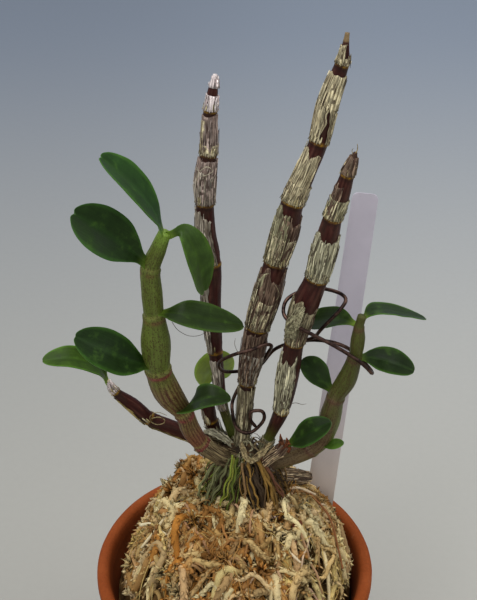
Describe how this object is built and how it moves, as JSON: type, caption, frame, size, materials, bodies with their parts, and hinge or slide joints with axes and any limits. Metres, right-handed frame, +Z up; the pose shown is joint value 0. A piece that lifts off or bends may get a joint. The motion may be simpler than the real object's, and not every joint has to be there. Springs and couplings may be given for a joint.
{
  "type": "potted cane orchid",
  "caption": "Cane orchid with jointed old canes and leafy shoots on one root stock, in a moss-filled terracotta pot with a blank plant label and a bent wire clip.",
  "frame": {"origin": "centre of the pot's underside, on the surface it stands on", "axes": "+Z up along the pot's axis; -Y towards the viewer of the picture; +X to the viewer's right"},
  "size_m": [0.1101, 0.09, 0.2525],
  "materials": {
    "terracotta": "matt, unglazed",
    "dried_moss": "matt, fibrous",
    "roots": "matt",
    "old_cane": "satin, with papery sheaths",
    "green_shoot": "satin",
    "grey_sheath": "matt",
    "leaf": "satin",
    "young_leaf": "satin",
    "white_plastic": "satin",
    "bronze_wire": "satin"
  },
  "bodies": {
    "root": {"pot": "terracotta", "moss": "dried_moss", "root_stock": "roots", "cane_tall": "old_cane", "cane_right": "old_cane", "cane_back": "old_cane", "cane_short": "old_cane", "cane_small": "old_cane", "shoot_left": "green_shoot", "shoot_right": "green_shoot", "old_stub": "grey_sheath", "new_shoot": "grey_sheath", "leaf_top_left": "leaf", "leaf_upper_left": "leaf", "leaf_drooping": "leaf", "leaf_middle": "leaf", "leaf_left": "leaf", "leaf_low": "leaf", "leaf_far_left": "young_leaf", "leaf_round": "young_leaf", "leaf_far_right": "leaf", "leaf_inner_right": "leaf", "leaf_right": "leaf", "leaf_low_right": "leaf", "leaf_front": "leaf", "leaf_bud": "young_leaf", "label": "white_plastic", "wire": "bronze_wire"}
  },
  "joints": []
}
